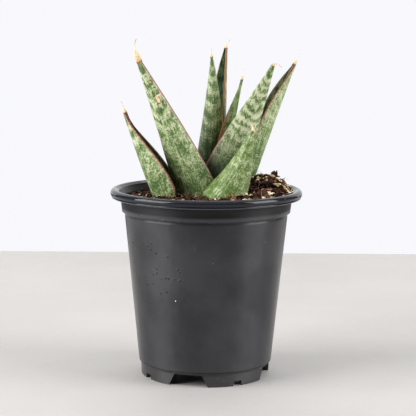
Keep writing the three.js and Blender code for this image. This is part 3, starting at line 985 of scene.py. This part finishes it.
# After each name: base, bend, tip and awl, then width, fullness, channel, facing, twist, thickness,
# point, neck and hook.
LEAVES = (
    Leaf("leaf_left_short", (-28, 1.9, 101), (-36.2, 2.2, 120.1), (-45.7, 1, 147.4), (-2.5, 0, 6.9),
         27.8, 1.53, 0.44, -0.6, 0.7, 4.6, 1.1, 0.09, 0.6,
         LeafSkin(1.0, -0.06, 9.0, 0.14, low_tone=0.08), (0.9, 1.0)),
    Leaf("leaf_left_tall", (-6.2, -4, 101), (-21.8, -4, 141.1), (-37.4, -3, 175.5), (-1.8, 0, 13.6),
         23.2, 1.02, 0.23, 70.9, 1.1, 5, 1.55, 0.02, 0.8,
         LeafSkin(2.0, -0.01, 7.5, 0.19, 4.0, hair=(0.45, 0.14, 0.11)), (0.0, 1.0), awl_body=0.62,
         marks=(Mark(Skin.SCAR, -0.36, 0.706, 0.17, 0.022), Mark(Skin.SCAR, -0.60, 0.738, 0.36, 0.007),
                Mark(Skin.SCAR, -0.28, 0.728, 0.12, 0.012),
                Mark(Skin.SPOT, -0.56, 0.855, 0.14, 0.009), Mark(Skin.SPOT, -0.2, 0.965, 0.2, 0.006),
                Mark(Skin.SCAR, -0.66, 0.600, 0.10, 0.009), Mark(Skin.SPOT, -0.2, 0.682, 0.22, 0.006))),
    Leaf("leaf_centre", (-0.7, 12.5, 101), (5.3, 12.5, 140.1), (2.4, 12.5, 178.5), (0, 0, 5.4),
         15.7, 1.66, 0.28, 91.7, 0.5, 4, 0.65, 0.33, 0.6,
         LeafSkin(3.0, -0.12, 7.5, 0.22, low_tone=0.20, painted_low_shade=0.85), (0.0, 0.0),
         marks=(Mark(Skin.SPOT, 0.42, 0.46, 0.09, 0.010),)),
    Leaf("leaf_rear", (8.2, 27, 101), (9.3, 26.5, 168.3), (10.5, 24, 183.5), (2.5, 0, 5.3),
         13.8, 1.8, 0.31, -145.3, -5.2, 3.6, 0.95, 0.5, 0.5,
         LeafSkin(4.0, -0.10, inside=(0.016, 0.030, 0.014), margin=(0.30, 0.14, 0.07), margin_pale=TAN)),
    Leaf("leaf_inner", (9.6, 16.5, 101), (13.7, 14.1, 140.7), (19.5, 11, 165.9), (1.6, 0, 6.5),
         16.6, 2.32, 0.38, 171, 0, 3.4, 0.65, 0.6, 0.6,
         LeafSkin(5.0, -0.04, middle=(0.190, 0.290, 0.075), light=(0.430, 0.510, 0.250),
                  inside=(0.10, 0.11, 0.02), margin=(0.34, 0.13, 0.05), margin_pale=TAN), rims_end=0.72),
    Leaf("leaf_right_broad", (7, 4.5, 101.3), (17.7, 2.5, 128), (36.3, -2, 174.5), (5.1, 0, -0.9),
         27, 1.51, 0.22, 112.5, 2.8, 4.6, 1.1, 0.27, 0.65,
         LeafSkin(6.0, 0.02, 5.2, 0.25, 3.5, low_tone=0.15, painted_low_shade=0.95),
         (1.0, 0.0), rims_end=0.60, marks=(Mark(Skin.SPOT, -0.84, 0.585, 0.07, 0.010),)),
    Leaf("leaf_right_outer", (22.6, 26, 99.4), (42.8, 20.7, 158.9), (49.3, 13.2, 175.3), (2.8, 0, 5.6),
         22.5, 2.06, 0.38, 181.2, -2.7, 4.4, 0.9, 0.45, 0.6,
         LeafSkin(7.0, 0.0, 10.0, 0.12, inside=(0.022, 0.040, 0.016))),
    Leaf("leaf_front", (5.4, -15, 101), (16.8, -11, 114.3), (25.4, -12, 138.9), (-1.9, 0, 6.1),
         25.6, 1.3, 0.26, 56.6, -1, 5, 0.85, 0.02, 0.25,
         LeafSkin(8.0, -0.14, 9.0, 0.10, low_tone=0.06, dark=(0.090, 0.160, 0.036),
                  middle=(0.235, 0.325, 0.105)),
         (1.0, 0.2), rims_end=0.52, awl_body=0.80,
         marks=(Mark(Skin.SPOT, -0.44, 0.185, 0.08, 0.018), Mark(Skin.SPOT, -0.14, 0.06, 0.05, 0.015))),
)


# ---------------------------------------------------------------- potting mix


@dataclass
class Scatter:
    """A Geometry Nodes tree that lays one kind of grain over the mix's surface."""

    name: str
    per_cm2: float
    smallest_mm: float
    largest_mm: float
    stretch: Triple
    seed: int
    lift_mm: float
    room: str = "room"

    def tree(self, shapes: bpy.types.Collection, material: bpy.types.Material
             ) -> tuple[bpy.types.NodeTree, dict[str, str]]:
        """Builds the node tree.

        Args:
            shapes: The collection of grain shapes that are picked from.
            material: The grains' finish.

        Returns:
            The tree, and each input's identifier by its name.
        """
        tree = bpy.data.node_groups.new(self.name, "GeometryNodeTree")
        face = tree.interface
        face.new_socket("Geometry", in_out="INPUT", socket_type="NodeSocketGeometry")
        sockets = {label: face.new_socket(label, in_out="INPUT", socket_type=kind).identifier
                   for label, kind in (("Density", "NodeSocketFloat"), ("Smallest", "NodeSocketFloat"),
                                       ("Largest", "NodeSocketFloat"), ("Lift", "NodeSocketFloat"),
                                       ("Seed", "NodeSocketInt"))}
        face.new_socket("Geometry", in_out="OUTPUT", socket_type="NodeSocketGeometry")
        add = partial(add_node, tree)
        given = add("NodeGroupInput").outputs

        room = add("GeometryNodeInputNamedAttribute", {"Name": self.room}, data_type="FLOAT")
        dense = add("ShaderNodeMath", {0: given["Density"], 1: room.outputs[0]}, operation="MULTIPLY")
        spread = add("GeometryNodeDistributePointsOnFaces",
                     {"Mesh": given["Geometry"], "Density": dense.outputs[0], "Seed": given["Seed"]})
        up = add("ShaderNodeCombineXYZ", {2: given["Lift"]})
        raised = add("GeometryNodeSetPosition",
                     {"Geometry": spread.outputs["Points"], "Offset": up.outputs[0]})
        turn = add("FunctionNodeRandomValue", {"Min": (-0.7, -0.7, 0.0), "Max": (0.7, 0.7, math.tau),
                                               "Seed": given["Seed"]}, data_type="FLOAT_VECTOR")
        size = add("FunctionNodeRandomValue",
                   {2: given["Smallest"], 3: given["Largest"], "Seed": given["Seed"]}, data_type="FLOAT")
        shape = add("ShaderNodeVectorMath", {0: self.stretch, "Scale": size.outputs[1]},
                    operation="SCALE")
        pick = add("GeometryNodeCollectionInfo",
                   {"Collection": shapes, "Separate Children": True, "Reset Children": True})
        laid = add("GeometryNodeInstanceOnPoints",
                   {"Points": raised.outputs[0], "Instance": pick.outputs[0], "Pick Instance": True,
                    "Rotation": turn.outputs[0], "Scale": shape.outputs[0]})
        tone = add("FunctionNodeRandomValue", data_type="FLOAT")
        keep = add("GeometryNodeStoreNamedAttribute",
                   {"Geometry": laid.outputs[0], "Name": "tone", "Value": tone.outputs[1]},
                   domain="INSTANCE")
        real = add("GeometryNodeRealizeInstances", {0: keep.outputs[0]})
        dressed = add("GeometryNodeSetMaterial", {"Geometry": real.outputs[0], "Material": material})
        add("NodeGroupOutput", {"Geometry": dressed.outputs[0]})
        return tree, sockets

    def build(self, ground: bpy.types.Object, shapes: bpy.types.Collection,
              material: bpy.types.Material, slot: Slot) -> bpy.types.Object:
        """Lays the grains and makes them one plain mesh.

        Args:
            ground: The surface that they lie on, with its room attributes.
            shapes: The grain shapes.
            material: The grains' finish.
            slot: The record's slot for them.

        Returns:
            The finished grains.
        """
        grains = bpy.data.objects.new(self.name, ground.data.copy())
        bpy.context.scene.collection.objects.link(grains)
        tree, sockets = self.tree(shapes, material)
        laid = grains.modifiers.new("scatter", "NODES")
        laid.node_group = tree
        laid[sockets["Density"]] = self.per_cm2 * 1e4
        laid[sockets["Smallest"]] = self.smallest_mm * MM
        laid[sockets["Largest"]] = self.largest_mm * MM
        laid[sockets["Lift"]] = self.lift_mm * MM
        laid[sockets["Seed"]] = self.seed
        plain_copy(grains)
        return finish_piece(grains, slot)


def lump_mesh(name: str, seed: float, detail: int, rough: float, flat: float = 1.0) -> bpy.types.Mesh:
    """Makes one irregular grain, about one unit across.

    Args:
        name: The mesh's name.
        seed: Where the noise is read, so that grains differ.
        detail: The icosphere's subdivisions.
        rough: How far corners are pushed in and out.
        flat: The grain's height for its width.

    Returns:
        The grain's mesh.
    """
    shape = bmesh.new()
    bmesh.ops.create_icosphere(shape, subdivisions=detail, radius=0.5)
    for corner in shape.verts:
        at = corner.co * 3.1 + Vector((seed * 5.3, seed * 2.7, seed))
        push = 1.0 + rough * noise.fractal(at, 0.7, 2.0, 3)
        corner.co *= push
        corner.co.z *= flat
    mesh = bpy.data.meshes.new(name)
    shape.to_mesh(mesh)
    shape.free()
    return mesh


def strand_mesh(name: str, seed: int) -> bpy.types.Mesh:
    """Makes one thin bent fibre, about one unit long.

    Args:
        name: The mesh's name.
        seed: Sets how the fibre bends.

    Returns:
        The fibre's mesh.
    """
    draw = np.random.default_rng(seed)
    bends = draw.uniform(-0.22, 0.22, (2, 2))
    rings = []
    for step in range(6):
        share = step / 5
        arc = math.sin(share * math.pi)
        wave = math.sin(share * math.tau)
        middle = np.array([share - 0.5, bends[0, 0] * arc + bends[0, 1] * wave,
                           abs(bends[1, 0]) * arc + bends[1, 1] * wave])
        thick = 0.022 * (1 - 0.6 * share)
        ring = [middle + [0, thick * math.cos(a), thick * math.sin(a)] for a in (0, 2.1, 4.2)]
        rings.append(np.array(ring))
    points, faces = skin_rings(rings, rings[0].mean(0) - [0.02, 0, 0], rings[-1].mean(0) + [0.02, 0, 0])
    mesh = bpy.data.meshes.new(name)
    mesh.from_pydata(points.tolist(), [], faces)
    return mesh


@dataclass
class PottingMix:
    """The mix in the pot: a closed plug with a rough heaped top, and the grains lying on it."""

    pot: NurseryPot
    leaves: tuple[Leaf, ...]
    gap: float = 0.3
    level: float = 101.0
    heap: Triple = (35.0, 12.0, 10.0)
    heap_spread: tuple[float, float] = (13.0, 19.0)
    hollow: Triple = (-38.0, 14.0, 2.2)
    hollow_spread: float = 17.0
    rings: int = 62
    segments: int = 300

    def height(self, x: float, y: float) -> float:
        """Finds the height of the mix's smoothed surface at a place."""
        radius = math.hypot(x, y)
        heap_x = (x - self.heap[0]) / self.heap_spread[0]
        heap_y = (y - self.heap[1]) / self.heap_spread[1]
        edge = 1 - 0.55 * (radius / self.pot.mouth_radius) ** 12
        heap = self.heap[2] * math.exp(-(heap_x ** 2 + heap_y ** 2) / 2) * edge
        away = ((x - self.hollow[0]) ** 2 + (y - self.hollow[1]) ** 2) / (2 * self.hollow_spread ** 2)
        ripple = 0.45 * math.sin(x * 0.41 + 1.3) * math.cos(y * 0.37 - 0.6)
        return self.level + heap - self.hollow[2] * math.exp(-away) + ripple

    def rough_height(self, x: float, y: float) -> float:
        """Finds the height of the mix's crumbly surface at a place."""
        clod = noise.fractal(Vector((x * 0.28, y * 0.28, 3.0)), 0.8, 2.1, 4)
        return self.height(x, y) + 0.75 * clod

    def inner_radius(self, z: float) -> float:
        """Finds the radius of the pot's inner wall at a height."""
        pot = self.pot
        stops = [(pot.body_foot[1] + pot.wall, pot.body_foot[0] - pot.wall),
                 (pot.body_top[1], pot.body_top[0] - pot.wall),
                 (pot.collar_foot[1], pot.collar_foot[0] - pot.wall),
                 (pot.collar_top[1], pot.collar_top[0] - pot.wall),
                 (pot.height - 1.9, pot.mouth_radius)]
        heights, radii = zip(*stops)
        return float(np.interp(z, heights, radii))

    def top_points(self) -> Rings:
        """Lists the rings of the surface, from the wall to the middle."""
        found = []
        for ring in range(self.rings):
            share = 1 - ring / self.rings
            points = []
            for step in range(self.segments):
                angle = step * math.tau / self.segments
                edge_z = self.height(47 * math.cos(angle), 47 * math.sin(angle))
                radius = (self.inner_radius(edge_z) - self.gap) * share ** 0.85
                x, y = radius * math.cos(angle), radius * math.sin(angle)
                points.append((x, y, self.rough_height(x, y)))
            found.append(np.array(points))
        return found

    def plug(self, top: Rings, material: bpy.types.Material) -> bpy.types.Object:
        """Builds the closed plug under the surface.

        Args:
            top: The surface's rings, from the wall to the middle.
            material: The plug's finish.

        Returns:
            The finished plug.
        """
        floor = self.pot.floor_under + self.pot.wall + self.gap
        walls = []
        for z in (floor, self.pot.body_top[1], self.pot.collar_foot[1]):
            radius = self.inner_radius(z) - self.gap
            walls.append(circle(radius, z, self.segments))
        shoulder = []
        for x, y, z in top[0]:
            low = min(z - 0.8, self.pot.collar_top[1])
            scale = (self.inner_radius(low) - self.gap) / math.hypot(x, y)
            shoulder.append((x * scale, y * scale, low))
        middle = np.array([0, 0, self.rough_height(0, 0)])
        points, faces = skin_rings([*walls, np.array(shoulder), *top], np.array([0, 0, floor]), middle)
        plug = make_mesh("mix_plug", points, faces)
        store(plug, "tone", np.full(len(points), 0.35))
        plug.data.materials.append(material)
        return finish_piece(plug, Slot.MIX, "potting_mix")

    def ground(self, top: Rings) -> bpy.types.Object:
        """Makes the bare surface that grains are laid on, with how much room each place has.

        Args:
            top: The surface's rings.

        Returns:
            A helper object, removed when the grains are laid.
        """
        points = np.vstack(top[1:])
        size = self.segments
        faces = []
        for ring in range(len(top) - 2):
            for i in range(size):
                low = ring * size
                after = (i + 1) % size
                faces.append((low + i, low + after, low + size + after, low + size + i))
        ground = make_mesh("ground", points, faces)
        room = np.ones(len(points))
        for leaf in self.leaves:
            base = np.array(leaf.base[:2])
            away = np.linalg.norm((points[:, :2] - base) / (leaf.width * 0.22), axis=1)
            room *= smoothstep(0.2, 0.9, away)
        right = smoothstep(-10, 34, points[:, 0] + 0.35 * points[:, 1])
        front = smoothstep(-14, -30, points[:, 1]) * smoothstep(12, -22, points[:, 0])
        store(ground, "room", room)
        store(ground, "pale_room", room * (0.16 + 0.84 * np.maximum(right, 0.75 * front)))
        return ground

    def shapes(self, name: str, meshes: list[bpy.types.Mesh]) -> bpy.types.Collection:
        """Puts grain shapes in a collection of their own."""
        shelf = bpy.data.collections.new(name)
        for mesh in meshes:
            shelf.objects.link(bpy.data.objects.new(mesh.name, mesh))
        return shelf

    def build(self) -> list[bpy.types.Object]:
        """Builds the mix and everything lying on it.

        Returns:
            The finished pieces.
        """
        top = self.top_points()
        peat, bark = PEAT.build("peat"), BARK.build("bark")
        pale, fibre = PERLITE.build("perlite"), FIBRE.build("fibre")
        pieces = [self.plug(top, peat)]
        ground = self.ground(top)
        crumbs = self.shapes("crumbs", [lump_mesh(f"crumb_{i}", i, 1, 0.9) for i in range(6)])
        flakes = self.shapes("flakes", [lump_mesh(f"flake_{i}", i + 20, 2, 0.8, 0.5) for i in range(6)])
        beads = self.shapes("beads", [lump_mesh(f"bead_{i}", i + 40, 2, 0.7, 0.85) for i in range(5)])
        strands = self.shapes("strands", [strand_mesh(f"strand_{i}", i) for i in range(5)])
        plan = (
            (Scatter("peat_crumbs", 78.0, 0.6, 1.9, (1.2, 1.0, 0.9), 11, 0.1), crumbs, peat, Slot.MIX),
            (Scatter("bark_crumbs", 14.0, 1.0, 2.2, (1.4, 1.0, 0.9), 12, 0.4), crumbs, bark, Slot.BARK),
            (Scatter("bark_flakes", 4.0, 1.8, 3.4, (1.5, 1.0, 0.8), 13, 0.5), flakes, bark, Slot.BARK),
            (Scatter("dark_flakes", 6.0, 1.8, 3.8, (1.3, 1.0, 0.9), 14, 0.6), flakes, peat, Slot.MIX),
            (Scatter("perlite_beads", 3.0, 1.0, 2.6, (1.2, 1.0, 1.0), 15, 0.9, "pale_room"), beads, pale,
             Slot.PERLITE),
            (Scatter("root_fibres", 1.6, 5.0, 9.0, (1.0, 1.0, 1.0), 16, 1.0), strands, fibre, Slot.MIX),
        )
        for scatter, shapes, material, slot in plan:
            pieces.append(scatter.build(ground, shapes, material, slot))
        bpy.data.objects.remove(ground)
        for shelf in (crumbs, flakes, beads, strands):
            for shape in list(shelf.objects):
                bpy.data.objects.remove(shape)
            bpy.data.collections.remove(shelf)
        return pieces


@dataclass
class LoosePieces:
    """The larger bark chips and perlite grains, shaped in the boxes of their CAD solids."""

    detail: int = 4

    def build(self) -> list[bpy.types.Object]:
        """Builds every chip and grain.

        Returns:
            The finished pieces.
        """
        bark, pale = BARK.build("bark_chip"), PERLITE.build("perlite_grain")
        found = []
        for number, node in enumerate(sorted(frame["nodes"])):
            if node.startswith("bark_chip"):
                found.append(self.piece(node, number, bark, Slot.BARK, 0.75))
            elif node.startswith("perlite_grain"):
                found.append(self.piece(node, number, pale, Slot.PERLITE, 0.55))
        return found

    def piece(self, node: str, number: int, material: bpy.types.Material, slot: Slot, rough: float
              ) -> bpy.types.Object:
        """Builds one chip or grain that fills its CAD solid's box.

        Args:
            node: The CAD node that it stands for.
            number: Makes its shape its own.
            material: Its finish.
            slot: The record's slot.
            rough: How craggy it is.

        Returns:
            The finished piece.
        """
        low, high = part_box(node)
        mesh = lump_mesh(node + "_piece", number * 1.7, self.detail, rough)
        co = np.array([v.co for v in mesh.vertices])
        span = co.max(0) - co.min(0)
        share = (co - co.min(0)) / span
        placed = np.array(low) + share * (np.array(high) - np.array(low))
        mesh.vertices.foreach_set("co", placed.ravel())
        mesh.polygons.foreach_set("use_smooth", [True] * len(mesh.polygons))
        piece = bpy.data.objects.new(mesh.name, mesh)
        bpy.context.scene.collection.objects.link(piece)
        store(piece, "tone", np.full(len(co), (number * 0.37) % 1.0))
        mesh.materials.append(material)
        return finish_piece(piece, slot, node)


# ---------------------------------------------------------------- studio


@dataclass
class Studio:
    """A plain pale floor, soft lights and the camera."""

    eye: Triple = (0.001, -0.7529, 0.2006)
    pitch: float = 8.03
    roll: float = 0.47
    lens: float = 116.5
    aim: Triple = (0.0, 0.0, 0.09)
    haze: Colour = (0.96, 0.97, 1.0)
    haze_strength: float = 0.05
    backdrop: Colour = (0.939, 0.939, 0.982)
    floor_back: float = 0.393
    floor_reach: float = 3.0

    def floor(self) -> None:
        """Lays the floor, which ends a little way behind the pot."""
        reach = self.floor_reach * 1000
        back = self.floor_back * 1000
        points = np.array([(-reach, -reach, 0), (reach, -reach, 0), (reach, back, 0), (-reach, back, 0)])
        floor = make_mesh("floor", points, [(0, 1, 2, 3)], smooth=False)
        s = Shader("floor_paint")
        mottle = s.noise(s.place(), 9.0, 4.0, 0.6)
        paint = s.mix(s.ease(mottle, 0.35, 0.65), (0.490, 0.474, 0.458), (0.520, 0.504, 0.489))
        grit = s.noise(s.place(), 160.0, 3.0, 0.7)
        paint = s.mix(s.ease(grit, 0.55, 0.75, 0.0, 0.35), paint, (0.43, 0.41, 0.39))
        floor.data.materials.append(s.finish(Base_Color=paint, Roughness=0.7))

    def light(self, name: str, place: Triple, size: tuple[float, float], radiance: float) -> None:
        """Hangs one soft rectangular light.

        Args:
            name: The light's name.
            place: Where it hangs, in metres.
            size: Its width and height, in metres.
            radiance: How bright its face is; a white wall in daylight is about 1.
        """
        lamp = bpy.data.lights.new(name, "AREA")
        lamp.shape = "RECTANGLE"
        lamp.size, lamp.size_y = size
        lamp.energy = radiance * math.pi * size[0] * size[1]
        holder = bpy.data.objects.new(name, lamp)
        holder.location = place
        holder.rotation_euler = (Vector(self.aim) - Vector(place)).to_track_quat("-Z", "Y").to_euler()
        holder.visible_camera = False
        bpy.context.scene.collection.objects.link(holder)

    def lights(self) -> None:
        """Hangs the lights and sets the pale surroundings."""
        self.light("panel_left", (-1.12, -0.40, 0.60), (1.00, 1.1), 7.5)
        self.light("panel_right", (1.15, -0.32, 0.60), (0.78, 1.1), 7.2)
        self.light("wall_behind", (0.0, 1.5, 0.7), (3.2, 1.8), 0.95)
        self.light("overhead", (0.0, 0.50, 1.35), (1.6, 1.2), 1.5)
        self.light("strip", (0.0, -0.70, 1.25), (1.6, 0.16), 3.5)
        world = bpy.data.worlds.new("surroundings")
        world.use_nodes = True
        world.node_tree.nodes.clear()
        add = partial(add_node, world.node_tree)
        haze = add("ShaderNodeBackground", {"Color": (*self.haze, 1.0), "Strength": self.haze_strength})
        seen = add("ShaderNodeBackground", {"Color": (*self.backdrop, 1.0)})
        direct = add("ShaderNodeLightPath").outputs["Is Camera Ray"]
        either = add("ShaderNodeMixShader", {0: direct, 1: haze.outputs[0], 2: seen.outputs[0]})
        add("ShaderNodeOutputWorld", {"Surface": either.outputs[0]})
        bpy.context.scene.world = world
        bpy.context.scene.view_settings.view_transform = "Standard"

    def camera(self) -> None:
        """Places the camera, pitched down and rolled a little."""
        lens = bpy.data.cameras.new("camera")
        lens.lens = self.lens
        lens.clip_start = 0.01
        eye = bpy.data.objects.new("camera", lens)
        pitch, roll = math.radians(self.pitch), math.radians(self.roll)
        ahead = Vector((0, math.cos(pitch), -math.sin(pitch)))
        level = Vector((1, 0, 0))
        over = level.cross(ahead)
        right = level * math.cos(roll) + over * math.sin(roll)
        up = over * math.cos(roll) - level * math.sin(roll)
        turn = Matrix((right, up, -ahead)).transposed()
        eye.matrix_world = Matrix.Translation(self.eye) @ turn.to_4x4()
        bpy.context.scene.collection.objects.link(eye)
        bpy.context.scene.camera = eye

    def build(self) -> None:
        """Sets the whole studio up."""
        self.floor()
        self.lights()
        self.camera()


def main() -> None:
    """Builds the studio and every piece of the plant."""
    logging.basicConfig(level=logging.INFO, format="%(name)s: %(message)s")
    Studio().build()
    pot = NurseryPot()
    pot.build()
    for leaf in LEAVES:
        leaf.build()
    PottingMix(pot, LEAVES).build()
    LoosePieces().build()
    rhizome = frame["nodes"]["rhizome"]
    rhizome.data.materials.clear()
    rhizome.data.materials.append(STEM.build("rhizome_skin"))


if __name__ == "__main__":
    main()
